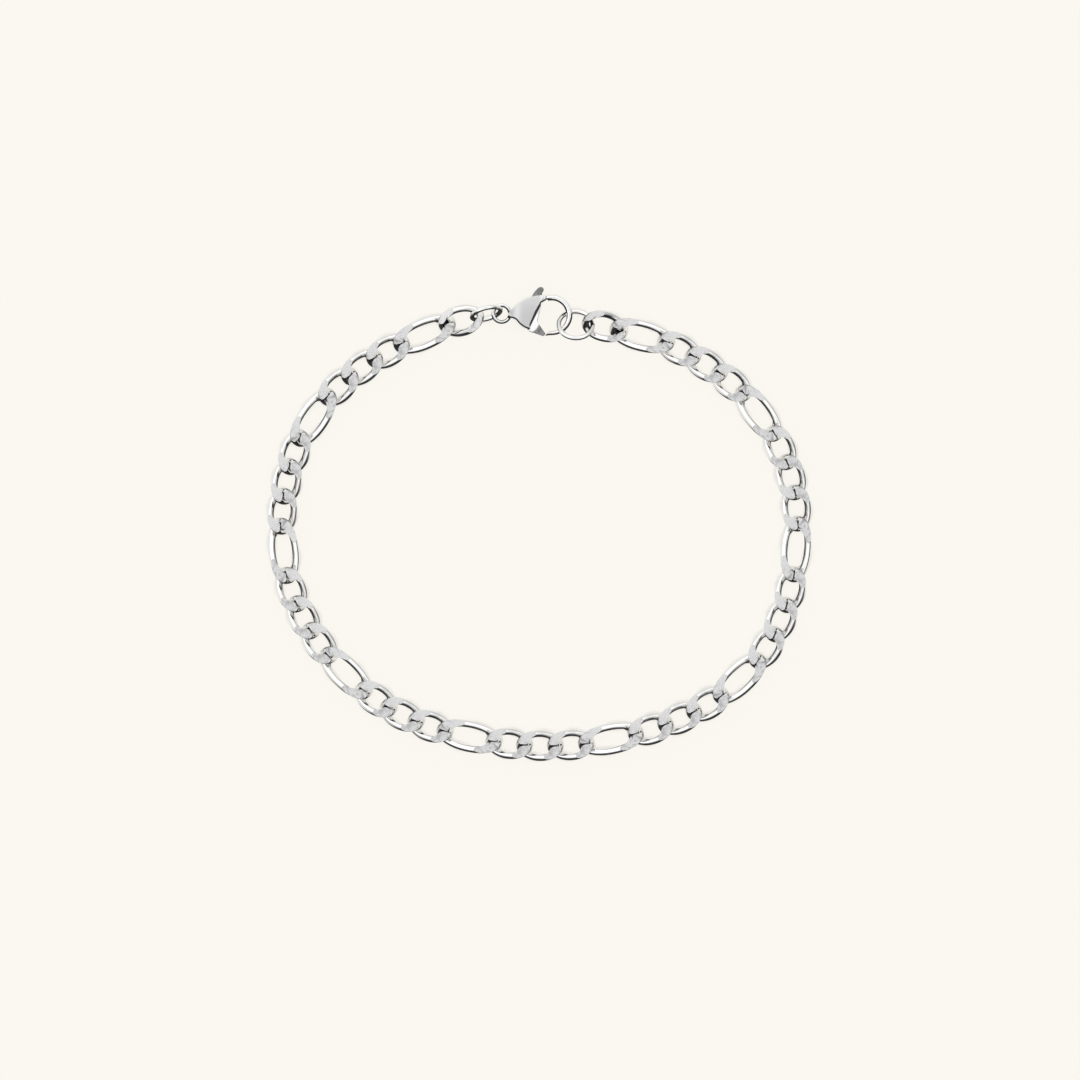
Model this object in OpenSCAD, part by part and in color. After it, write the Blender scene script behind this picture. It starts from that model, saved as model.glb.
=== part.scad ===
// A figaro chain bracelet, closed and lying flat: groups of three short curb links between long
// ones, each twisted and filed flat on both faces, with a lobster clasp on two jump rings.
// X runs across the bracelet, Y towards the clasp, and Z up from the surface that it lies on.

/* [Chain] */
// Long links in the whole chain
long_links = 10; // [9:1:11]
// Short links between two long ones
group_links = 3; // [3:1:3]
// Short links outside the first and the last long link
end_links = 1; // [1:1:1]
// Thickness of the wire that every link is bent from
link_wire = 0.95; // [0.85:0.01:1.0]
// Free width between the two long sides of a link
link_inside = 2.15; // [2.05:0.01:2.4]
// Length that a short link adds to the chain
short_pitch = 3.98; // [3.9:0.01:4.3]
// Length that a long link adds to the chain
long_pitch = 6.49; // [5.8:0.01:7.2]
// Average gap between the ends of two links that hold each other
link_gap = 0.18; // [0.16:0.01:0.24]
// How much the chain is pushed together on one side and drawn out on the other
slack = 0.085; // [0:0.005:0.09]
// Turn of a link's wire from its middle to each end, in degrees
link_twist = 45; // [42:1:50]
// Thickness of the chain between its two filed faces
filed_t = 1.54; // [1.4:0.01:1.7]
// Squareness of a short link's outline, where 2 is an ellipse
short_square = 2.5; // [2.4:0.1:3]
// Squareness of a long link's outline
long_square = 2.8; // [2.7:0.1:3.2]
// Rise of the two end links towards the jump rings that prop them up, in degrees
end_rise = 8; // [7:0.5:10]

/* [Jump rings] */
// Thickness of the wire of both jump rings
ring_wire = 0.6; // [0.55:0.01:0.65]
// Outer diameter of the ring between the chain and the clasp's eye
left_ring_d = 4.4; // [4.35:0.05:4.8]
// Outer diameter of the ring that the hook closes on
right_ring_d = 5.0; // [4.95:0.05:5.4]
// Slope of the left ring as it lies, in degrees
left_slope = 70; // [67:1:71]
// Slope of the right ring as it lies, in degrees
right_slope = 37; // [35:1:40]
// Free space left round the wires that a jump ring holds
ring_clear = 0.08; // [0.06:0.01:0.2]

/* [Clasp] */
// Distance from the middle of the eye to the middle of the bow
clasp_reach = 6.45; // [6.2:0.05:7]
// Radius of the bow's middle line
bow_r = 2.3; // [2.2:0.05:2.5]
// Width of the bow, seen from above
bow_w = 0.82; // [0.7:0.01:0.9]
// Height of the bow
bow_h = 0.96; // [0.8:0.01:1.0]
// Width of the bow's tip as a share of its full width
tip_share = 0.62; // [0.5:0.01:0.9]
// Radius of the eye's middle line
eye_r = 1.08; // [1.05:0.01:1.3]
// Thickness of the eye's wire
eye_wire = 0.52; // [0.45:0.01:0.6]
// Thickness of the clasp's body
clasp_t = 2.6; // [2.5:0.05:3]
// Offset of the clasp from the straight line between the chain's ends
clasp_off = 0.45; // [0.3:0.05:0.6]

/* [Lever] */
// Thickness of the lever
lever_t = 1.0; // [0.8:0.05:1.1]
// Distance from the lever's pin to the end of its gate
gate_r = 3.7; // [3.6:0.05:3.8]
// Diameter of the pin
pin_d = 0.8; // [0.6:0.05:0.9]
// Opening travel of the lever, in degrees
lever_travel = 22; // [15:1:24]
// Free space between the lever and the slot, and between its gate and the bow's tip
lever_clear = 0.1; // [0.06:0.01:0.14]
// Free space round the pin in the lever's bore
bore_clear = 0.06; // [0.04:0.01:0.08]
// Fit of the pin in the two cheeks of the body
pin_fit = 0.01; // [0.005:0.005:0.02]

/* [Hidden] */
// Sides of a link seen from above, and sides of its wire
link_sides = 16;
wire_sides = 6;
// Rings of points along the bow, and sides of its section
bow_rings = 18;
bow_sides = 12;

// Places that the middle of the chain passes through as it lies, from the clasp round to the left
route = [
    [-0.9, 27.8], [-10.2, 26.4], [-15.5, 24.6], [-23.4, 20.2], [-29.8, 13.7], [-32.9, 5.6],
    [-33.4, -3.7], [-30.7, -12.0], [-25.3, -19.3], [-18.1, -24.5], [-9.5, -27.4], [0, -28.6],
    [9.1, -27.8], [18.4, -24.9], [26.0, -20.0], [31.0, -12.7], [33.2, -3.1], [32.5, 6.0],
    [28.7, 14.2], [22.2, 20.3], [12.5, 25.3], [9.5, 25.3]
];
route_steps = 16;

// The clasp's body seen from above: [share of clasp_reach from the eye, share of bow_r across]
body_outline = [
    [0.147, -0.17], [0.21, -0.21], [0.296, -0.3], [0.36, -0.5], [0.46, -0.69], [0.53, -0.76],
    [0.586, -0.78], [0.574, -0.56], [0.616, -0.23], [0.685, 0.287], [0.767, 0.68],
    [0.835, 0.81], [0.87, 0.88], [0.905, 0.96], [0.905, 1.07], [0.87, 1.13], [0.83, 1.165],
    [0.749, 1.13], [0.592, 1.03], [0.474, 0.874], [0.36, 0.68], [0.281, 0.48], [0.21, 0.3], [0.147, 0.19]
];
// The body seen from the side: [share of clasp_reach, share of half its thickness]
body_side = [
    [0.13, 0.34], [0.2, 0.62], [0.28, 0.86], [0.38, 1], [0.68, 1], [0.76, 0.85], [0.83, 0.6],
    [0.87, 0.36], [0.91, 0.3]
];
// The lever at rest, seen from above, without the end of its gate: shares as in body_outline
lever_outline = [
    [0.739, -0.42], [0.72, -0.38], [0.735, -0.1], [0.766, 0.296], [0.776, 0.65], [0.776, 1.09],
    [0.797, 1.31], [0.82, 1.44], [0.803, 1.55], [0.765, 1.6], [0.715, 1.56], [0.68, 1.46],
    [0.635, 1.3], [0.59, 1.05], [0.515, 0.5], [0.41, 0.22], [0.325, -0.05], [0.36, -0.3],
    [0.43, -0.4], [0.49, -0.62], [0.567, -0.909], [0.69, -1.0]
];
// Where the lever turns: shares as in body_outline
pin_share = [0.433, -0.087];
// The block that joins the bow to both cheeks begins here: shares as in body_outline
root_share = [0.81, 0.74];
// Directions of the gate's end and of the free sector in the slot, in degrees round the pin
gate_low = -41.5;
gate_high = -35.5;
slot_low = -92;
slot_high = 118;
// Directions on the bow where it starts in the body and where it straightens out to its tip
bow_start = 114;
bow_end = -92;
// The chain's wires pass through the rings aslant, so each ring settles beside the plain crossing:
// the left one this far along the clasp's line, across it and turned; the right one nearer the bow
left_shift = [-0.08, 0.13];
left_turn = 17.6;
bow_ease = 0.42;
nose_ease = 0.03;
right_drop = 0.3;
// Height of the bow's centre over the line through the eye, and the length of its straight tip
bow_off = 0.12;
tip_run = 0.75;
tip_turn = 16;
// Radius of the lever's hub
hub_r = 0.75;
// Where the gate begins to thin towards its end, and half of its thickness there as a share
gate_thin_r = 2.9;
gate_thin = 0.14;
// More than any size of the clasp, for cutters
far = 12;

link_count = long_links + (long_links - 1) * group_links + 2 * end_links;
function link_name(i) = str("link_", i < 10 ? "0" : "", i);

// Plain helpers
function turned(v, a) = [v[0] * cos(a) - v[1] * sin(a), v[0] * sin(a) + v[1] * cos(a)];
function unit(v) = v / norm(v);
function signed_pow(v, e) = sign(v) * pow(abs(v), e);
function other_leg(long_side, leg) = sqrt(max(long_side * long_side - leg * leg, 0));
function total(v, i = 0) = i == len(v) ? 0 : v[i] + total(v, i + 1);

// The chain's row of links, counted from 0 at the left of the clasp
function is_long(i) = i >= end_links && (i - end_links) % (group_links + 1) == 0;
function own_pitch(i) = is_long(i) ? long_pitch : short_pitch;
function link_length(i) = own_pitch(i) + 2 * link_wire + link_gap;
link_width = link_inside + 2 * link_wire;
chain_length = total([for (i = [0 : link_count - 1]) own_pitch(i)]);

// The route as a smooth closed curve, with its length up to each point
function curve(p, q, r, s, t) = (
    2 * q + (r - p) * t + (2 * p - 5 * q + 4 * r - s) * t * t + (3 * q - p - 3 * r + s) * t * t * t
) / 2;
function route_at(i) = route[(i + len(route)) % len(route)];
route_path = [
    for (i = [0 : len(route) * route_steps])
        let (k = floor(i / route_steps))
        curve(route_at(k - 1), route_at(k), route_at(k + 1), route_at(k + 2), i / route_steps - k)
];
route_run = [
    for (i = 0, s = 0; i < len(route_path);
        s = s + (i + 1 < len(route_path) ? norm(route_path[i + 1] - route_path[i]) : 0), i = i + 1) s
];
route_x = [for (i = [0 : len(route_path) - 1]) [route_run[i], route_path[i][0]]];
route_y = [for (i = [0 : len(route_path) - 1]) [route_run[i], route_path[i][1]]];
route_length = route_run[len(route_run) - 1];
function on_route(s) = [lookup(s, route_x), lookup(s, route_y)];

// Where one link hands over to the next, along the chain: pushed together first, then drawn out
stations = [
    for (i = 0, s = 0; i <= link_count;
        s = s + own_pitch(i) - slack * sin(360 * (i + 0.5) / link_count), i = i + 1) s
];
function joint(i, scale) =
    scale * on_route((scale * route_length - chain_length) / (2 * scale) + stations[i] / scale);
function link_centre(i, scale) = (joint(i, scale) + joint(i + 1, scale)) / 2;
function link_heading(i, scale) =
    let (d = joint(i + 1, scale) - joint(i, scale)) atan2(d[1], d[0]);

// The two end links rise towards the clasp, about the far end that they rest on
function clasp_side(i) = i == 0 ? -1 : i == link_count - 1 ? 1 : 0;
function tipped(i, v) =
    let (side = clasp_side(i), foot = -side * link_length(i) / 2, x = (v[0] - foot) * side)
    [
        foot + side * (x * cos(end_rise) - v[2] * sin(end_rise)),
        v[1],
        x * sin(end_rise) + v[2] * cos(end_rise)
    ];
end_foot = min([for (k = [0 : link_sides - 1], p = wire_section(0, 360 * k / link_sides)) tipped(0, p)[2]]);
function risen(i, v) = clasp_side(i) == 0 ? v : tipped(i, v) - [0, 0, end_foot];
nose_reach = (short_pitch + link_gap + link_wire) / 2;
function nose(i, scale) =
    let (v = risen(i, [clasp_side(i) * nose_reach, 0, filed_t / 2]))
    link_centre(i, scale) + turned([v[0], v[1]], link_heading(i, scale));
nose_z = risen(0, [-nose_reach, 0, filed_t / 2])[2];

// Jump rings, clasp and the line between the chain's two noses, with X along it from the left
clasp_z = clasp_t / 2;
ring_gap = (ring_wire + link_wire) / 2 + ring_clear;

left_r = (left_ring_d - ring_wire) / 2;
left_z = ring_wire / 2 + left_r * sin(left_slope);
left_y = (left_z - nose_z) / tan(left_slope);
left_x = other_leg(left_r - ring_gap, (nose_z - left_z) / sin(left_slope));
eye_cross = left_y + (clasp_z - left_z) / tan(left_slope) - clasp_off;
eye_x = left_x
    + other_leg(left_r - (ring_wire + eye_wire) / 2 - ring_clear, (clasp_z - left_z) / sin(left_slope))
    + other_leg(eye_r, eye_cross);

right_r = (right_ring_d - ring_wire) / 2;
right_z = ring_wire / 2 + right_r * sin(right_slope);
right_y = (nose_z - right_z) / tan(right_slope);
bow_cross = right_y + (right_z - clasp_z) / tan(right_slope) - clasp_off - bow_off;
right_x = eye_x + clasp_reach + other_leg(bow_r, bow_cross) - bow_ease
    + other_leg(right_r - (ring_wire + bow_w) / 2 - ring_clear, (clasp_z - right_z) / sin(right_slope));
end_span = right_x - nose_ease + other_leg(right_r - ring_gap, (nose_z - right_z) / sin(right_slope));

// The route is scaled so that its ends stand as far apart as the clasp needs
function closer(scale) =
    scale + (end_span - norm(nose(link_count - 1, scale) - nose(0, scale))) / route_length;
loop_scale = closer(closer(closer((chain_length + end_span) / route_length)));
left_nose = nose(0, loop_scale);
right_nose = nose(link_count - 1, loop_scale);
clasp_line = right_nose - left_nose;
clasp_heading = atan2(clasp_line[1], clasp_line[0]);

// A link: a twisted oval of wire, its faces filed flat
function oval_at(i, t) =
    let (
        square = is_long(i) ? long_square : short_square,
        a = (link_length(i) - link_wire) / 2,
        b = (link_width - link_wire) / 2
    ) [a * signed_pow(cos(t), 2 / square), b * signed_pow(sin(t), 2 / square)];
function twist_at(i, x) = -link_twist * x / ((link_length(i) - link_wire) / 2);
function rolled(v, a) = [v[0], v[1] * cos(a), v[1] * sin(a)];
function wire_at(i, t) = let (p = oval_at(i, t)) rolled(p, twist_at(i, p[0]));
function wire_section(i, t) =
    let (
        along = unit(wire_at(i, t + 2) - wire_at(i, t - 2)),
        flat = oval_at(i, t + 2) - oval_at(i, t - 2),
        out = rolled([flat[1], -flat[0]], twist_at(i, oval_at(i, t)[0])),
        side = unit(out - (out * along) * along),
        up = cross(along, side)
    ) [
        for (j = [0 : wire_sides - 1])
            let (
                q = 360 * j / wire_sides,
                p = wire_at(i, t) + link_wire / 2 * (cos(q) * side + sin(q) * up)
            ) [p[0], p[1], filed_t / 2 + min(max(p[2], -filed_t / 2), filed_t / 2)]
    ];
function link_points(i) =
    let (c = link_centre(i, loop_scale), h = link_heading(i, loop_scale))
    [
        for (k = [0 : link_sides - 1], p = wire_section(i, 360 * k / link_sides))
            let (v = risen(i, p), w = c + turned([v[0], v[1]], h)) [w[0], w[1], v[2]]
    ];
function loop_faces(rings, sides) = [
    for (k = [0 : rings - 1], j = [0 : sides - 1])
        let (n = (k + 1) % rings, m = (j + 1) % sides)
        each [
            [k * sides + j, k * sides + m, n * sides + m],
            [k * sides + j, n * sides + m, n * sides + j]
        ]
];

// The bracelet's origin is under the middle of its box
chain_x = [for (i = [0 : link_count - 1], p = link_points(i)) p[0]];
chain_y = [for (i = [0 : link_count - 1], p = link_points(i)) p[1]];
nub_tip = left_nose + turned(
    [eye_x + 0.765 * clasp_reach, clasp_off + 1.6 * bow_r], clasp_heading);
middle = [(min(chain_x) + max(chain_x)) / 2, (min(chain_y) + nub_tip[1]) / 2];

module link(i) {
    color("gainsboro")
        translate([-middle[0], -middle[1], 0])
            polyhedron(link_points(i), loop_faces(link_sides, wire_sides), convexity = 6);
}

// Draws in the clasp's line, with X from the chain's left end towards its right end
module on_clasp_line(x, y, z) {
    translate([left_nose[0] - middle[0], left_nose[1] - middle[1], 0])
        rotate(clasp_heading)
            translate([x, y, z])
                children();
}

module jump_ring(r) {
    rotate_extrude($fn = 96)
        translate([r, 0])
            circle(d = ring_wire, $fn = 48);
}

module jump_ring_left() {
    color("silver")
        on_clasp_line(left_x + left_shift[0], left_y + left_shift[1], left_z)
            rotate([left_slope, 0, left_turn])
                jump_ring(left_r);
}

module jump_ring_right() {
    color("silver")
        on_clasp_line(right_x, right_y - right_drop, right_z)
            rotate([-right_slope, 0, 0])
                jump_ring(right_r);
}

// Clasp pieces are drawn from the middle of the eye, at half the body's thickness
function clasp_place(p) = [p[0] * clasp_reach, p[1] * bow_r];
pin_place = clasp_place(pin_share);
function round_pin(r, a) = pin_place + r * [cos(a), sin(a)];

function smooth_run(v, steps) = [
    for (i = [0 : len(v) - 2], t = [0 : steps - 1])
        curve(v[max(i - 1, 0)], v[i], v[i + 1], v[min(i + 2, len(v) - 1)], t / steps)
];
function smooth_loop(v, steps) = [
    for (i = [0 : len(v) - 1], t = [0 : steps - 1])
        curve(v[(i + len(v) - 1) % len(v)], v[i], v[(i + 1) % len(v)], v[(i + 2) % len(v)], t / steps)
];

// The bow: an arc from the body round to a straight tip
bow_centre = [clasp_reach, bow_off];
function bow_line(q) =
    let (
        arc_run = bow_r * PI * (bow_start - bow_end) / 180,
        s = q * (arc_run + tip_run),
        a = bow_start - min(s, arc_run) / bow_r * 180 / PI,
        away = max(s - arc_run, 0) * turned([1, 0], a - 90 + tip_turn)
    ) bow_centre + bow_r * [cos(a), sin(a)] + away;
function bow_section(q) =
    let (
        along = unit(bow_line(q + 0.005) - bow_line(q - 0.005)),
        side = [along[1], -along[0]],
        taper = 1 - (1 - tip_share) * max(2 * q - 1, 0)
    ) [
        for (j = [0 : bow_sides - 1])
            let (
                b = 360 * j / bow_sides,
                p = bow_line(q) + bow_w / 2 * taper * cos(b) * side
            ) [p[0], p[1], bow_h / 2 * (1 + taper) / 2 * sin(b)]
    ];
function tube_faces(rings, sides) = concat(
    [for (j = [1 : sides - 2]) [0, j + 1, j]],
    [for (k = [0 : rings - 2], j = [0 : sides - 1])
        let (m = (j + 1) % sides)
        each [
            [k * sides + j, k * sides + m, (k + 1) * sides + m],
            [k * sides + j, (k + 1) * sides + m, (k + 1) * sides + j]
        ]
    ],
    [for (j = [1 : sides - 2]) (rings - 1) * sides * [1, 1, 1] + [0, j, j + 1]]
);

module bow() {
    difference() {
        polyhedron(
            [for (k = [0 : bow_rings - 1]) each bow_section(k / (bow_rings - 1))],
            tube_faces(bow_rings, bow_sides), convexity = 6);
        translate([pin_place[0], pin_place[1], -far / 2])
            cylinder(r = gate_r + lever_clear, h = far, $fn = 96);
    }
}

module body_shell() {
    intersection() {
        translate([0, 0, -clasp_z])
            linear_extrude(clasp_t)
                polygon(smooth_loop([for (p = body_outline) clasp_place(p)], 3));
        rotate([90, 0, 0])
            translate([0, 0, -far / 2])
                linear_extrude(far)
                    polygon(concat(
                        [for (p = body_side) [p[0] * clasp_reach, p[1] * clasp_z]],
                        [for (j = [len(body_side) - 1 : -1 : 0])
                            [body_side[j][0] * clasp_reach, -body_side[j][1] * clasp_z]]
                    ));
    }
}

module slot() {
    slot_h = lever_t + 2 * lever_clear;
    translate([0, 0, -slot_h / 2])
        linear_extrude(slot_h)
            difference() {
                union() {
                    translate(pin_place)
                        circle(r = hub_r + lever_clear, $fn = 64);
                    polygon(concat(
                        [pin_place],
                        [for (j = [0 : 8]) round_pin(far, slot_low + (slot_high - slot_low) * j / 8)]
                    ));
                }
                translate(clasp_place(root_share))
                    square(far);
            }
}

module eye() {
    rotate_extrude($fn = 96)
        translate([eye_r, 0])
            circle(d = eye_wire, $fn = 48);
}

module clasp_body() {
    color("silver")
        on_clasp_line(eye_x, clasp_off, clasp_z) {
            difference() {
                body_shell();
                slot();
                translate([pin_place[0], pin_place[1], -far / 2])
                    cylinder(d = pin_d + 2 * pin_fit, h = far, $fn = 48);
            }
            eye();
            bow();
        }
}

module gate_bevel() {
    rise = lever_t / 2;
    translate(pin_place)
        rotate((gate_low + gate_high) / 2)
            rotate([90, 0, 0])
                translate([0, 0, -far / 2])
                    linear_extrude(far)
                        polygon([[gate_thin_r, rise], [gate_r, rise * gate_thin], [gate_r, 2 * rise]]);
}

module clasp_lever() {
    gate_end = [for (j = [0 : 4]) round_pin(gate_r, gate_low + (gate_high - gate_low) * j / 4)];
    color("darkgray")
        on_clasp_line(eye_x, clasp_off, clasp_z - lever_t / 2)
            difference() {
                linear_extrude(lever_t)
                    polygon(concat(gate_end, smooth_run([for (p = lever_outline) clasp_place(p)], 3)));
                translate([0, 0, lever_t / 2]) {
                    gate_bevel();
                    mirror([0, 0, 1])
                        gate_bevel();
                }
                translate([pin_place[0], pin_place[1], -lever_t])
                    cylinder(d = pin_d + 2 * bore_clear, h = 3 * lever_t, $fn = 48);
            }
}

module clasp_pin() {
    color("silver")
        on_clasp_line(eye_x + pin_place[0], clasp_off + pin_place[1], 0)
            cylinder(d = pin_d, h = clasp_t, $fn = 48);
}

for (i = [1 : link_count]) link(i - 1);
jump_ring_left();
jump_ring_right();
clasp_body();
clasp_lever();
clasp_pin();
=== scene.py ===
# %% [markdown]
# # A figaro bracelet
# The bracelet lies closed on a pale table, seen from straight above. Its solids come from the
# construction model, in metres, and this lesson dresses them: fine links with filed faces, round
# jump rings, a soft-edged cast clasp, silver finishes and the studio round it all.

# %% The frame
import math

import bmesh
import bpy
import numpy as np
from mathutils import Matrix, Vector
from mathutils.kdtree import KDTree


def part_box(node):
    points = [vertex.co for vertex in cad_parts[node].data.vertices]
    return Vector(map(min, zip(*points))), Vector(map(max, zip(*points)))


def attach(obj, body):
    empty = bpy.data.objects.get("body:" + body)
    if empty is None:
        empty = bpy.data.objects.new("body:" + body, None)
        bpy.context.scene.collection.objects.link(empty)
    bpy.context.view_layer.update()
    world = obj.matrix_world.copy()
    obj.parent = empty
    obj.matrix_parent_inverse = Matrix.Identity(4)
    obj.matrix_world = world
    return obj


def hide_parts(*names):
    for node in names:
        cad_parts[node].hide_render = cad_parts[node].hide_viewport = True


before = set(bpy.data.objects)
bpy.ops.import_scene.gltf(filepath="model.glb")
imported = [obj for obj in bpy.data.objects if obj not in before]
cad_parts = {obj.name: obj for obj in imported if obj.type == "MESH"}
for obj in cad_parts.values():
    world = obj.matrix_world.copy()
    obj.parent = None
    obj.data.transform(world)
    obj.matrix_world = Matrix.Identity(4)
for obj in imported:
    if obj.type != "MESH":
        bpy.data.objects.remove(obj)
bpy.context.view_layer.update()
MM = 0.001
link_names = sorted(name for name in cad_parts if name.startswith("link_"))
print("solids:", len(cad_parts), "links:", len(link_names))

# %% [markdown]
# Every solid keeps its place in its mesh, so a piece that replaces one has to find out where it
# lies. A link or a ring is symmetric about its middle, so the spread of its points gives its own
# axes: the longest, the next, and the thinnest, which is turned to point up.


# %% Where a solid lies
def own_axes(name):
    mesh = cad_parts[name].data
    points = np.array([v.co[:] for v in mesh.vertices])
    points = np.unique(points.round(7), axis=0)
    axes = np.linalg.eigh(np.cov((points - points.mean(0)).T))[1][:, ::-1]
    axes[:, 2] *= np.sign(axes[2, 2])
    axes[:, 1] = np.cross(axes[:, 2], axes[:, 0])
    along = (points - points.mean(0)) @ axes
    low, high = along.min(0), along.max(0)
    middle = points.mean(0) + axes @ ((low + high) / 2)
    place = Matrix.Translation(Vector(middle)) @ Matrix(axes.tolist()).to_4x4()
    return place, high - low


sizes = {name: own_axes(name)[1] for name in link_names}
lengths = sorted({round(float(s[0]) / MM, 2) for s in sizes.values()})
print("link lengths in mm:", lengths)

# %% [markdown]
# ## Finishes
# A finish is a small sum over textures: grain, fine scratches, a cloudy change from place to
# place. The class below wraps one socket of a shader, so that such a sum reads as one line of
# Python while the maths nodes are made behind it.


# %% Shader sums
class Value:
    def __init__(self, tree, socket=None):
        self.tree = tree
        self.socket = socket

    def node(self, kind, settings=None, inputs=None, out=0):
        made = self.tree.nodes.new(kind)
        for key, value in (settings or {}).items():
            setattr(made, key, value)
        for key, value in (inputs or {}).items():
            if isinstance(value, Value):
                self.tree.links.new(value.socket, made.inputs[key])
            else:
                made.inputs[key].default_value = value
        return Value(self.tree, made.outputs[out])

    def maths(self, operation, first, second):
        return self.node("ShaderNodeMath", {"operation": operation}, {0: first, 1: second})

    def __add__(self, other):
        return self.maths("ADD", self, other)

    def __sub__(self, other):
        return self.maths("SUBTRACT", self, other)

    def __rsub__(self, other):
        return self.maths("SUBTRACT", other, self)

    def __mul__(self, other):
        return self.maths("MULTIPLY", self, other)

    __radd__ = __add__
    __rmul__ = __mul__


def step_between(value, low, high):
    """0 below low, 1 above high, and a soft rise between them."""
    return value.node(
        "ShaderNodeMapRange", {"interpolation_type": "SMOOTHSTEP"},
        {"Value": value, "From Min": low, "From Max": high})


# %% [markdown]
# Silver has no colour of its own to speak of: what shows is what it mirrors. The real bracelet
# mirrored an unlit end of the studio in every flank that faces it, and in the narrow insides of
# its links, as a thin black line. Here the glowing table would wash that line out, so it is
# painted on as a dark reflection and shade. Where it goes comes from the surface alone: how steep
# it is, which way it faces, and marks that the meshes carry. "inside" is the side of a wire that
# faces its link's hole; a second mark is painted shade in the gaps where a neighbour or a part
# lies close, and a third is painted shade on the deep sides of a casting, dark on all their
# flanks.


# %% Dark flanks
# Painted dark reflection and shade: its near-black colour and how fully it covers.
PAINTED_DARK_COLOUR = (0.015, 0.015, 0.017, 1.0)
PAINTED_DARK_COVER = 0.96
OUTER_STEEP = (0.74, 0.88)  # upright share of the normal, from fully painted dark to bare
ROUND_STEEP = (0.93, 0.985)  # for the rings and the clasp
INNER_STEEP = (0.60, 0.78)
UNDERSIDE = (-0.10, 0.02)  # upright share, from bare to painted dark: none on faces that look down
FACING_RISE = 0.3  # past the reach, from bare to painted dark
INNER_FACING = (-0.80, -0.10)  # the same for the insides, which are dark nearly all round
INSIDE_RISE = (0.0, 0.3)
# The rise of the painted shade in the gaps.
GAP_SHADE_RISE = (0.40, 0.75)


def painted_dark_share(start, dark_way, reach, steep):
    """The share of painted dark reflection and shade: dark_way points to the dark end, reach is
    how far round it goes.
    """
    normal = start.node("ShaderNodeNewGeometry", out="Normal")
    right, away, up = (
        start.node("ShaderNodeSeparateXYZ", {}, {"Vector": normal}, out=axis) for axis in "XYZ")
    facing = dark_way[0] * right + dark_way[1] * away
    inside, painted_gap_shade, painted_deep_shade = (
        start.node("ShaderNodeAttribute", {"attribute_name": name}, out="Fac")
        for name in ("inside", "painted_gap_shade", "painted_deep_shade"))
    outer = start.maths("MAXIMUM", step_between(facing, reach, reach + FACING_RISE), painted_deep_shade)
    outer = outer * (1 - step_between(up, *steep))
    inner = step_between(inside, *INSIDE_RISE) * step_between(facing, *INNER_FACING)
    inner = inner * (1 - step_between(up, *INNER_STEEP))
    share = step_between(up, *UNDERSIDE) * start.maths("MAXIMUM", outer, inner)
    return start.maths("MAXIMUM", share, step_between(painted_gap_shade, *GAP_SHADE_RISE))


# %% [markdown]
# The round sides of the wires are polished. The filed faces, and the broad faces of the clasp, are
# satin: thousands of fine strokes spread the mirror image, and the face takes an even light grey.
# Strokes are a bump, and clouds a change in roughness and tone. A casting carries two marks of its
# own: "satin", its brushed share, and a mark for painted shade, a dull dark grey laid on its deep
# sides. A second, matt black shader is the painted dark reflection and shade, and the share found
# above mixes it in.


# %% Silver finishes
SATIN_ROUGHNESS = 0.40
SATIN_TONE = (0.64, 0.64, 0.64, 1.0)
# The dark grey painted as shade on a casting's deep sides.
DEEP_SHADE_TONE = (0.09, 0.09, 0.09, 1.0)
DEEP_SHADE_COVER = (0.6, 0.4)  # least share of the painted shade's tone, and what the strokes add
CLOUDS_PER_METRE = 700.0
GRAIN_RISE = (0.38, 0.58)
GRAIN_DEPTH = 1.2  # how much darker the grain is, by the finish's spread


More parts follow.
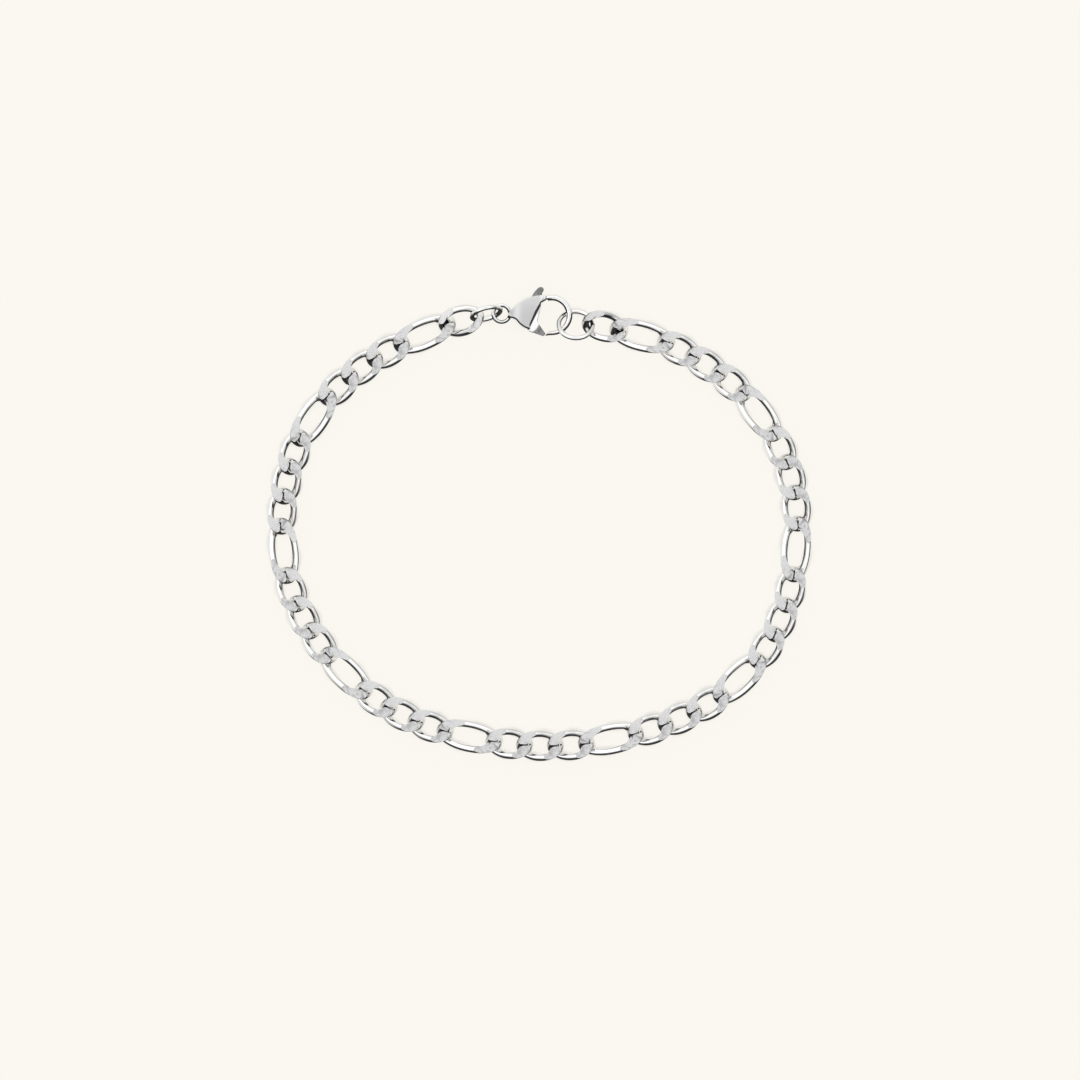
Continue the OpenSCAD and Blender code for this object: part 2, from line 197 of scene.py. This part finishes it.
def silver(name, tone, roughness, spread, stroke, stroke_depth, stretch,
           dark_way=(0, -1), reach=0.3, steep=OUTER_STEEP):
    material = bpy.data.materials.new(name)
    material.use_nodes = True
    tree = material.node_tree
    shader = tree.nodes["Principled BSDF"]
    start = Value(tree)
    place = start.node("ShaderNodeTexCoord", out="Object")
    drawn = start.node("ShaderNodeMapping", {}, {"Vector": place, "Scale": stretch})
    strokes = start.node(
        "ShaderNodeTexNoise", {"noise_dimensions": "3D"},
        {"Vector": drawn, "Scale": 1 / stroke, "Detail": 4.0, "Roughness": 0.6})
    clouds = start.node(
        "ShaderNodeTexNoise", {"noise_dimensions": "3D"},
        {"Vector": place, "Scale": CLOUDS_PER_METRE, "Detail": 2.0})
    satin = start.node("ShaderNodeAttribute", {"attribute_name": "satin"}, out="Fac")
    painted_deep_shade = start.node("ShaderNodeAttribute", {"attribute_name": "painted_deep_shade"}, out="Fac")
    painted_dark = painted_dark_share(start, dark_way, reach, steep)
    wear = roughness + spread * (strokes + clouds - 1) + (SATIN_ROUGHNESS - roughness) * satin
    tree.links.new(wear.socket, shader.inputs["Roughness"])
    shader.inputs["Metallic"].default_value = 1.0
    dark, light = (tuple(t * k for t in tone) + (1.0,) for k in (1 - GRAIN_DEPTH * spread, 1.0))

    def mixed(share, under, over):
        return start.node(
            "ShaderNodeMix", {"data_type": "RGBA"}, {"Factor": share, 6: under, 7: over}, out=2)

    grain = step_between(0.5 * (clouds + strokes), *GRAIN_RISE)
    colour = mixed(grain, dark, light)
    colour = mixed(satin, colour, SATIN_TONE)
    # Painted shade: dark grey on the deep sides of a casting.
    colour = mixed(painted_deep_shade * (DEEP_SHADE_COVER[0] + DEEP_SHADE_COVER[1] * strokes), colour, DEEP_SHADE_TONE)
    tree.links.new(colour.socket, shader.inputs["Base Color"])
    bump = start.node(
        "ShaderNodeBump", {},
        {"Height": strokes, "Strength": 1.0, "Distance": stroke_depth}, out="Normal")
    tree.links.new(bump.socket, shader.inputs["Normal"])
    # The painted dark reflection and shade: a matt black shader, mixed in by its share.
    painted_dark_bsdf = start.node(
        "ShaderNodeBsdfPrincipled", {},
        {"Base Color": PAINTED_DARK_COLOUR, "Roughness": 1.0, "Specular IOR Level": 0.0})
    both = start.node(
        "ShaderNodeMixShader", {},
        {0: PAINTED_DARK_COVER * painted_dark, 1: Value(tree, shader.outputs["BSDF"]), 2: painted_dark_bsdf})
    tree.links.new(both.socket, tree.nodes["Material Output"].inputs["Surface"])
    return material


polished = silver(
    "polished silver", (0.90, 0.90, 0.895), 0.10, 0.05, 0.12 * MM, 0.0015 * MM, (1, 1, 1))
filed = silver(
    "filed silver", (0.80, 0.80, 0.80), 0.30, 0.28, 0.20 * MM, 0.022 * MM, (0.5, 1, 1))
ring_polish = silver(
    "ring silver", (0.90, 0.90, 0.895), 0.12, 0.06, 0.12 * MM, 0.002 * MM, (1, 1, 1),
    steep=ROUND_STEEP)
CLASP_DARK_WAY, CLASP_REACH = (0.5, -0.87), 0.15
cast_silver = silver(
    "cast silver", (0.88, 0.88, 0.875), 0.13, 0.06, 0.15 * MM, 0.002 * MM, (1, 1, 1),
    CLASP_DARK_WAY, CLASP_REACH, ROUND_STEEP)
lever_polish = silver(
    "lever silver", (0.95, 0.95, 0.95), 0.14, 0.08, 0.15 * MM, 0.003 * MM, (1, 1, 1),
    CLASP_DARK_WAY, CLASP_REACH)
print("finishes:", len(bpy.data.materials))

# %% [markdown]
# ## Links
# A curb link is an oval of round wire, twisted about its length so that it lies flat beside its
# neighbours, and then filed on both faces. A curve with a bevel would give the wire, but not the
# filed faces, so the wire is swept point by point, and two flat cuts take off what the file took.
# Before it is filed, the twisted chain is pressed flat: on the shoulders of each link the metal
# spreads inwards over the neighbour, so the bright leaves nearly meet and leave a thin dark line.
# The cut faces get the satin finish, and their edges stay sharp.

# %% The wire of a link
LINK_WIRE = 0.95 * MM
LINK_TWIST = math.radians(45)
LONG_FROM = 7 * MM  # length that tells a long link from a short one
SQUARENESS = {"short": 2.5, "long": 2.8, "end": 2.5}
ROUND_SIDES, WIRE_SIDES = 128, 40
PRESS_SPREAD = {"short": 0.38 * MM, "long": 0.38 * MM, "end": 0.0}
PRESS_HEIGHT = (0.60 * MM, 0.70 * MM)  # above the link's middle
LIP_RISE = (0.0, 0.6)  # how far to the inner side of the wire a lip starts, and is full
SHOULDER = (0.35, 0.70)  # share of the way to the link's end
NEAR = math.radians(0.5)  # half the step over which the wire's direction is taken


def soft_step(value, low, high):
    share = min(max((value - low) / (high - low), 0.0), 1.0)
    return share * share * (3 - 2 * share)


def rolled(point, angle):
    return Vector((point.x, point.y * math.cos(angle), point.y * math.sin(angle)))


def wire_point(turn, half_length, half_width, square):
    cos, sin = math.cos(turn), math.sin(turn)
    power = 2 / square
    flat = Vector((
        half_length * math.copysign(abs(cos) ** power, cos),
        half_width * math.copysign(abs(sin) ** power, sin), 0))
    return rolled(flat, -LINK_TWIST * flat.x / half_length)


def wire_section(turn, oval, press_spread):
    here = wire_point(turn, *oval)
    along = (wire_point(turn + NEAR, *oval) - wire_point(turn - NEAR, *oval)).normalized()
    roll = -LINK_TWIST * here.x / oval[0]
    outward = along.cross(Vector((0, -math.sin(roll), math.cos(roll)))).normalized()
    up = along.cross(outward)
    inward = -Vector((outward.x, outward.y, 0)).normalized()
    spread = press_spread * soft_step(abs(math.cos(turn)), *SHOULDER)
    ring = []
    for k in range(WIRE_SIDES):
        a = math.tau * k / WIRE_SIDES
        point = here + LINK_WIRE / 2 * (math.cos(a) * outward + math.sin(a) * up)
        lip = soft_step(-math.cos(a), *LIP_RISE) * soft_step(abs(point.z), *PRESS_HEIGHT)
        ring.append(point + spread * lip * inward)
    return ring


# %% Filing
def file_flat(bm, height):
    """Cuts the link level at this height above and below its middle, and closes the cuts."""
    for side in (1, -1):
        cut = bmesh.ops.bisect_plane(
            bm, geom=bm.verts[:] + bm.edges[:] + bm.faces[:],
            plane_co=(0, 0, side * height), plane_no=(0, 0, side), clear_outer=True)
        rim = [e for e in cut["geom_cut"] if isinstance(e, bmesh.types.BMEdge)]
        faces = bmesh.ops.holes_fill(bm, edges=rim, sides=0)["faces"]
        for edge in rim:
            edge.smooth = False
        for face in faces:
            face.material_index = 1
            face.smooth = False


GAP_SHADE_FROM = 0.66  # share of a link's half length, beyond which its neighbour lies inside it and shade is painted
OUTER_GAP_SHADE = 0.62  # the same painted shade on the outer side, weaker


def tube(bm, rings, paint_gap_shade=False):
    """Skins closed rings of points, and marks the points that lie inside, and those that get
    painted shade in the gaps at a link's ends.
    """
    inside, painted_gap_shade = (bm.verts.layers.float.new(name) for name in ("inside", "painted_gap_shade"))
    count, sides = len(rings), len(rings[0])
    verts = [[bm.verts.new(p) for p in ring] for ring in rings]
    for i, ring in enumerate(verts):
        at_end = paint_gap_shade and abs(math.cos(math.tau * i / count)) > GAP_SHADE_FROM
        for j, vert in enumerate(ring):
            outwards = math.cos(math.tau * j / sides)
            vert[inside] = max(0.0, -outwards)
            vert[painted_gap_shade] = at_end * max(-outwards, OUTER_GAP_SHADE * outwards)
    for i in range(count):
        for j in range(sides):
            n, m = (i + 1) % count, (j + 1) % sides
            bm.faces.new((verts[i][j], verts[n][j], verts[n][m], verts[i][m])).smooth = True
    bmesh.ops.recalc_face_normals(bm, faces=bm.faces[:])


def link_mesh(kind, size):
    bm = bmesh.new()
    oval = ((size[0] - LINK_WIRE) / 2, (size[1] - LINK_WIRE) / 2, SQUARENESS[kind])
    turns = [math.tau * i / ROUND_SIDES for i in range(ROUND_SIDES)]
    tube(bm, [wire_section(turn, oval, PRESS_SPREAD[kind]) for turn in turns], True)
    file_flat(bm, size[2] / 2)
    mesh = bpy.data.meshes.new(kind + " link")
    bm.to_mesh(mesh)
    bm.free()
    mesh.materials.append(polished)
    mesh.materials.append(filed)
    return mesh


def placed(mesh, name, place, body="bracelet"):
    piece = bpy.data.objects.new(name, mesh)
    bpy.context.scene.collection.objects.link(piece)
    piece.matrix_world = place
    bpy.context.view_layer.update()
    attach(piece, body)
    return piece


# %% The chain
link_meshes = {}
for name in link_names:
    place, size = own_axes(name)
    kind = "long" if size[0] > LONG_FROM else "short"
    if name in (link_names[0], link_names[-1]):
        kind = "end"
    if kind not in link_meshes:
        link_meshes[kind] = link_mesh(kind, size)
        print(kind, "link, mm:", [round(float(s) / MM, 2) for s in size],
              "faces:", len(link_meshes[kind].polygons))
    link = placed(link_meshes[kind], "silver_" + name, place)
    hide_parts(name)

# %% [markdown]
# ## Jump rings
# A jump ring is a plain ring of round wire. Its solid gives the place, the slope and both radii,
# so the fine ring is swept round the same circle.

# %% Two rings
RING_SIDES, RING_WIRE_SIDES = 144, 28


def ring_mesh(name, size):
    thick = float(size[2]) / 2
    radius = float(size[0]) / 2 - thick
    bm = bmesh.new()
    rings = []
    for i in range(RING_SIDES):
        a = math.tau * i / RING_SIDES
        out = Vector((math.cos(a), math.sin(a), 0))
        rings.append([
            out * (radius + thick * math.cos(math.tau * k / RING_WIRE_SIDES))
            + Vector((0, 0, thick * math.sin(math.tau * k / RING_WIRE_SIDES)))
            for k in range(RING_WIRE_SIDES)])
    tube(bm, rings)
    mesh = bpy.data.meshes.new(name)
    bm.to_mesh(mesh)
    bm.free()
    mesh.materials.append(ring_polish)
    print(name, "radius and wire, mm:", round(radius / MM, 2), round(2 * thick / MM, 2))
    return mesh


for side in ("left", "right"):
    name = "jump_ring_" + side
    place, size = own_axes(name)
    ring = placed(ring_mesh(name, size), "silver_" + name, place)
    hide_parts(name)

# %% [markdown]
# ## Clasp
# The clasp is cast, so no edge on it is quite sharp. Bevels on so many meeting curves would break,
# but a very fine remesh of the solid with a few rounds of smoothing melts all edges alike, as
# casting and tumbling do. Remeshing works in whole millimetres here, because the tool's smallest
# step is too coarse for metres.

# %% Soft-edged castings
VOXEL = 0.045  # mm
MELT_ROUNDS = 7
WELD = 1e-7  # metres


def casting(name, nodes, rounds):
    """The solids of these nodes as one mesh, its edges melted by so many rounds of smoothing."""
    source = bpy.data.meshes.new(name)
    bm = bmesh.new()
    for node in nodes:
        bm.from_mesh(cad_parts[node].data)
    bmesh.ops.remove_doubles(bm, verts=bm.verts[:], dist=WELD)
    bmesh.ops.scale(bm, vec=(1 / MM,) * 3, verts=bm.verts[:])
    bm.to_mesh(source)
    bm.free()
    blank = bpy.data.objects.new(name + "_blank", source)
    bpy.context.scene.collection.objects.link(blank)
    remesh = blank.modifiers.new("fine skin", "REMESH")
    remesh.mode = "VOXEL"
    remesh.voxel_size = VOXEL
    smooth = blank.modifiers.new("melted edges", "SMOOTH")
    smooth.factor = 0.5
    smooth.iterations = rounds
    evaluated = blank.evaluated_get(bpy.context.evaluated_depsgraph_get())
    mesh = bpy.data.meshes.new_from_object(evaluated)
    bpy.data.objects.remove(blank)
    mesh.transform(Matrix.Scale(MM, 4))
    mesh.materials.clear()
    mesh.shade_smooth()
    print(name, "faces:", len(mesh.polygons))
    return mesh


# %% [markdown]
# The clasp's two broad faces are satin and a little crowned, so their grey drifts from edge to
# edge. The hook and the edges are polished. The mark "satin" fades from one to the other, because
# a brush leaves no border. A second mark paints shade along the lower rim, as a dark line under
# the clasp: it asks a tree of the rim's points how near the next one is.


# %% Marks on a casting
def mark(mesh, name, share_of):
    """Stores a number from 0 to 1 at each point of a casting, for its finish to read."""
    marks = mesh.attributes.new(name, "FLOAT", "POINT")
    for vert, item in zip(mesh.vertices, marks.data):
        item.value = share_of(vert)
    print(mesh.name, name, "mean:", round(sum(m.value for m in marks.data) / len(marks.data), 3))


# %% The clasp's body
body_low, body_high = (Vector(c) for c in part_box("clasp_body"))
pin_low, pin_high = (Vector(c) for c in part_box("clasp_pin"))
pin = (pin_low + pin_high) / 2
half_thick = (body_high.z - body_low.z) / 2
CROWN = 0.16  # share by which the face is lower at CROWN_REACH from its ridge
CROWN_REACH, CROWN_LIMIT = 2 * MM, 1.2
CROWN_RIDGE, CROWN_END = 0.5 * MM, 3.2 * MM  # from the pin, across and towards the hook
CROWN_FROM = 0.5  # share of the half thickness
SATIN_FROM, SATIN_FULL = 0.62, 0.88  # upright share of the normal
SATIN_HEIGHT = (0.2, 0.5)  # share of the half thickness
SATIN_END, SATIN_FADE = 1.9 * MM, 0.8 * MM  # from the pin towards the hook
NECK_FROM, NECK_FULL = -2.9 * MM, -1.0 * MM  # from the pin, on the eye's side
RIM_WAY = Vector((-0.3, -0.95, 0))  # the way the painted shade lies under the clasp
RIM_STEEP, RIM_FACING = 0.5, 0.5
RIM_WIDTH = (0.10 * MM, 0.24 * MM)
SLOT_HALF, SLOT_END = 0.65 * MM, 1.8 * MM  # the slot's walls, inside the body, lie within these
CLASP_HEADING = math.radians(-2.9)
CLASP_WAY = Vector((math.cos(CLASP_HEADING), math.sin(CLASP_HEADING), 0))
CLASP_LENGTH = 6.45 * MM
PIN_SHARE = 0.433  # of that length, from the eye
# The solid's side line: how thick it is at these shares of the same length, and how far its
# corners are blurred.
SIDE_SHARES = (0.0, 0.13, 0.20, 0.28, 0.38, 0.68, 0.76, 0.83, 0.87)
SIDE_THICKNESS = (0.3, 0.34, 0.62, 0.86, 1.0, 1.0, 0.85, 0.6, 0.36)
SIDE_BLUR = 0.06
SOFT_FROM, SOFT_TO, SOFT_TO_LOW = 0.1, 1.0, 0.8  # the last holds below the pin, by the gate

share_steps = np.linspace(-0.2, 1.1, 521)
side_edges = np.interp(share_steps, SIDE_SHARES, SIDE_THICKNESS)
spread_out = np.exp(-0.5 * ((share_steps - share_steps.mean()) / SIDE_BLUR) ** 2)
side_soft = np.convolve(side_edges, spread_out / spread_out.sum(), mode="same")


def softened(vert):
    """How far a broad face is drawn in or out where its side line would bend sharply."""
    share = PIN_SHARE + (vert.co - pin).dot(CLASP_WAY) / CLASP_LENGTH
    if not SOFT_FROM < share < (SOFT_TO if vert.co.y > pin.y else SOFT_TO_LOW):
        return 1.0
    soft, sharp = (np.interp(share, share_steps, edge) for edge in (side_soft, side_edges))
    return float(soft / sharp)


body_mesh = casting("clasp_body", ("clasp_body", "clasp_pin"), MELT_ROUNDS)
for vert in body_mesh.vertices:
    rise = (vert.co.z - pin.z) / half_thick
    off = min(abs(vert.co.y - pin.y - CROWN_RIDGE) / CROWN_REACH, CROWN_LIMIT)
    kept = softened(vert)
    if abs(rise) > CROWN_FROM and vert.co.x < pin.x + CROWN_END:
        kept *= 1 - CROWN * off * off * (abs(rise) - CROWN_FROM) / (1 - CROWN_FROM)
    vert.co.z = pin.z + (vert.co.z - pin.z) * kept
mark(body_mesh, "satin", lambda vert: (
    soft_step(abs(vert.normal.z), SATIN_FROM, SATIN_FULL)
    * soft_step(abs(vert.co.z - pin.z) / half_thick, *SATIN_HEIGHT)
    * soft_step(vert.co.x - pin.x, NECK_FROM, NECK_FULL)
    * (1 - soft_step(vert.co.x - pin.x, SATIN_END, SATIN_END + SATIN_FADE))))
rim = [v.co for v in body_mesh.vertices
       if abs(v.normal.z) < RIM_STEEP and v.normal.dot(RIM_WAY) > RIM_FACING
       and (abs(v.co.z - pin.z) > SLOT_HALF or abs(v.co.x - pin.x) > SLOT_END)]
rim_tree = KDTree(len(rim))
for i, point in enumerate(rim):
    rim_tree.insert((point.x, point.y, 0), i)
rim_tree.balance()
# Painted shade along the lower rim of the clasp.
mark(body_mesh, "painted_gap_shade", lambda vert: (
    1 - soft_step(rim_tree.find((vert.co.x, vert.co.y, 0))[2], *RIM_WIDTH)))
print("points on the dark rim:", len(rim))
body_mesh.materials.append(cast_silver)
body = placed(body_mesh, "silver_clasp_body", Matrix.Identity(4))
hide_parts("clasp_body", "clasp_pin")

# %% [markdown]
# The lever is cast too. The thumb polishes its flank, which falls away towards the hook. The deep
# sides of its nub and of the gate's end get painted shade, dark grey on all their flanks. It rides
# on its own body, so it swings open about the pin with the construction model.

# %% The lever
FLANK_FROM = 0.9 * MM  # from the pin towards the hook
FLANK_FALL = 0.5
DEEP_SHADE_FROM, DEEP_SHADE_FADE = 2.2 * MM, 0.3 * MM  # from the pin: where the painted shade on the deep sides begins, and how fast it comes in
CHEEK_EDGE = Vector((0.17 * MM, 28.73 * MM, 0))  # a point on the cheek's edge over the lever
CHEEK_OUT = Vector((0.896, -0.445, 0))  # away from the cheek
CHEEK_GAP, CHEEK_FADE = 0.22 * MM, 0.12 * MM  # how far the painted shade of the gap shows past the cheek
UNDER_CHEEK = (-0.4 * MM, -0.3 * MM)  # where it starts, under the cheek

lever_mesh = casting("clasp_lever", ("clasp_lever",), 3 * MELT_ROUNDS)
for vert in lever_mesh.vertices:
    share = min(max((vert.co.x - pin.x - FLANK_FROM) / MM, 0.0), 1.0)
    vert.co.z = pin.z + (vert.co.z - pin.z) * (1 - FLANK_FALL * share)


def past_cheek(vert):
    return (vert.co - CHEEK_EDGE).dot(CHEEK_OUT)


# Painted shade, dark grey, on the deep sides of the nub and of the gate's end.
mark(lever_mesh, "painted_deep_shade", lambda vert: soft_step(
    (vert.co - pin).xy.length, DEEP_SHADE_FROM, DEEP_SHADE_FROM + DEEP_SHADE_FADE) * (
    vert.co.y < pin.y or past_cheek(vert) < 0))
# Painted shade in the gap along the cheek's edge.
mark(lever_mesh, "painted_gap_shade", lambda vert: (
    soft_step(past_cheek(vert), *UNDER_CHEEK)
    * (1 - soft_step(past_cheek(vert), CHEEK_GAP, CHEEK_GAP + CHEEK_FADE))))
lever_mesh.materials.append(lever_polish)
lever = placed(lever_mesh, "silver_clasp_lever", Matrix.Identity(4), "lever")
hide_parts("clasp_lever")

# %% [markdown]
# ## Table and light
# The photograph was taken on a bright cream ground that hides nearly all shadow. A table that
# glows by itself, as a light table does, gives that ground. Only in tight gaps under the metal
# does it go dark: Ambient Occlusion with a short reach finds those, and dims the glow there.

# %% The table
TABLE_SIZE = 1.6
GLOW_SHARE = 0.93
SHADE_REACH = 0.7 * MM
SHADE_STEP = (0.12, 0.46)  # open share of the sky
SHADE = (0.02, 0.02, 0.02, 1)
CREAM = (0.965, 0.939, 0.880)
TABLE_DROP = 0.02 * MM  # keeps the table clear of the faces that rest on it

bm = bmesh.new()
bmesh.ops.create_grid(bm, x_segments=2, y_segments=2, size=TABLE_SIZE / 2)
table_mesh = bpy.data.meshes.new("table")
bm.to_mesh(table_mesh)
bm.free()
table = bpy.data.objects.new("table", table_mesh)
bpy.context.scene.collection.objects.link(table)
table.location.z = -TABLE_DROP

cream = bpy.data.materials.new("cream ground")
cream.use_nodes = True
ground = cream.node_tree.nodes["Principled BSDF"]
ground.inputs["Base Color"].default_value = tuple(c * (1 - GLOW_SHARE) for c in CREAM) + (1,)
ground.inputs["Roughness"].default_value = 1.0
ground.inputs["Specular IOR Level"].default_value = 0.0
ground.inputs["Emission Strength"].default_value = GLOW_SHARE
open_sky = Value(cream.node_tree).node(
    "ShaderNodeAmbientOcclusion", {"samples": 3}, {"Distance": SHADE_REACH}, out="AO")
glow = open_sky.node(
    "ShaderNodeMix", {"data_type": "RGBA"},
    {"Factor": step_between(open_sky, *SHADE_STEP), 6: SHADE, 7: CREAM + (1,)},
    out=2)
cream.node_tree.links.new(glow.socket, ground.inputs["Emission Color"])
table_mesh.materials.append(cream)

# %% [markdown]
# The room is a soft dome: grey straight above, with a brighter ring at mid height that draws the
# white lines on the wires, and dark near the horizon on the viewer's side. Polished wires need
# that dark band, for it tells one wire from the next. The far left side is a little lighter.

# %% The room
room = bpy.data.worlds.new("soft room")
bpy.context.scene.world = room
room.use_nodes = True
room_tree = room.node_tree
start = Value(room_tree)
direction = start.node("ShaderNodeTexCoord", out="Generated")
across, towards, height = (
    start.node("ShaderNodeSeparateXYZ", {}, {0: direction}, out=axis) for axis in "XYZ")

DOME, SOFT_BOX, SIDE_LIGHT = 0.82, 0.50, 0.22
BOX_BOTTOM, BOX_TOP = (0.50, 0.72), (0.82, 0.97)  # heights, 0 at the horizon and 1 above
DARK, FAR_DARK = 0.985, 0.22
DARK_HEIGHT = (0.20, 0.60)
DARK_TURN, DARK_SIDE = 0.12, (0.05, 0.60)  # the dark side is turned a little to the right
ring = step_between(height, *BOX_BOTTOM) - step_between(height, *BOX_TOP)
dome = DOME + SOFT_BOX * ring + SIDE_LIGHT * (towards - across)
low = 1 - step_between(height, *DARK_HEIGHT)
near_side = step_between(DARK_TURN * across - towards, *DARK_SIDE)
light = dome * (1 - low * (FAR_DARK + (DARK - FAR_DARK) * near_side))
background = room_tree.nodes["Background"]
background.inputs["Color"].default_value = (1.0, 1.0, 1.0, 1.0)
room_tree.links.new(light.socket, background.inputs["Strength"])

# %% [markdown]
# ## Camera
# The camera looks straight down from far away with a long lens, so the loop keeps its shape.
# The width of the view is the width of the photograph at the bracelet's scale.

# %% Straight above
VIEW_WIDTH = 139.3 * MM
VIEW_CENTRE = (0.087 * MM, -2.056 * MM)
CAMERA_HEIGHT = 1.2
SENSOR = 36  # mm

camera_data = bpy.data.cameras.new("camera")
camera_data.sensor_width = SENSOR
camera_data.lens = SENSOR * CAMERA_HEIGHT / VIEW_WIDTH
camera_data.clip_end = 10
camera = bpy.data.objects.new("camera", camera_data)
bpy.context.scene.collection.objects.link(camera)
camera.location = (*VIEW_CENTRE, CAMERA_HEIGHT)
bpy.context.scene.camera = camera

view = bpy.context.scene.view_settings
view.view_transform = "Standard"
view.look = "None"
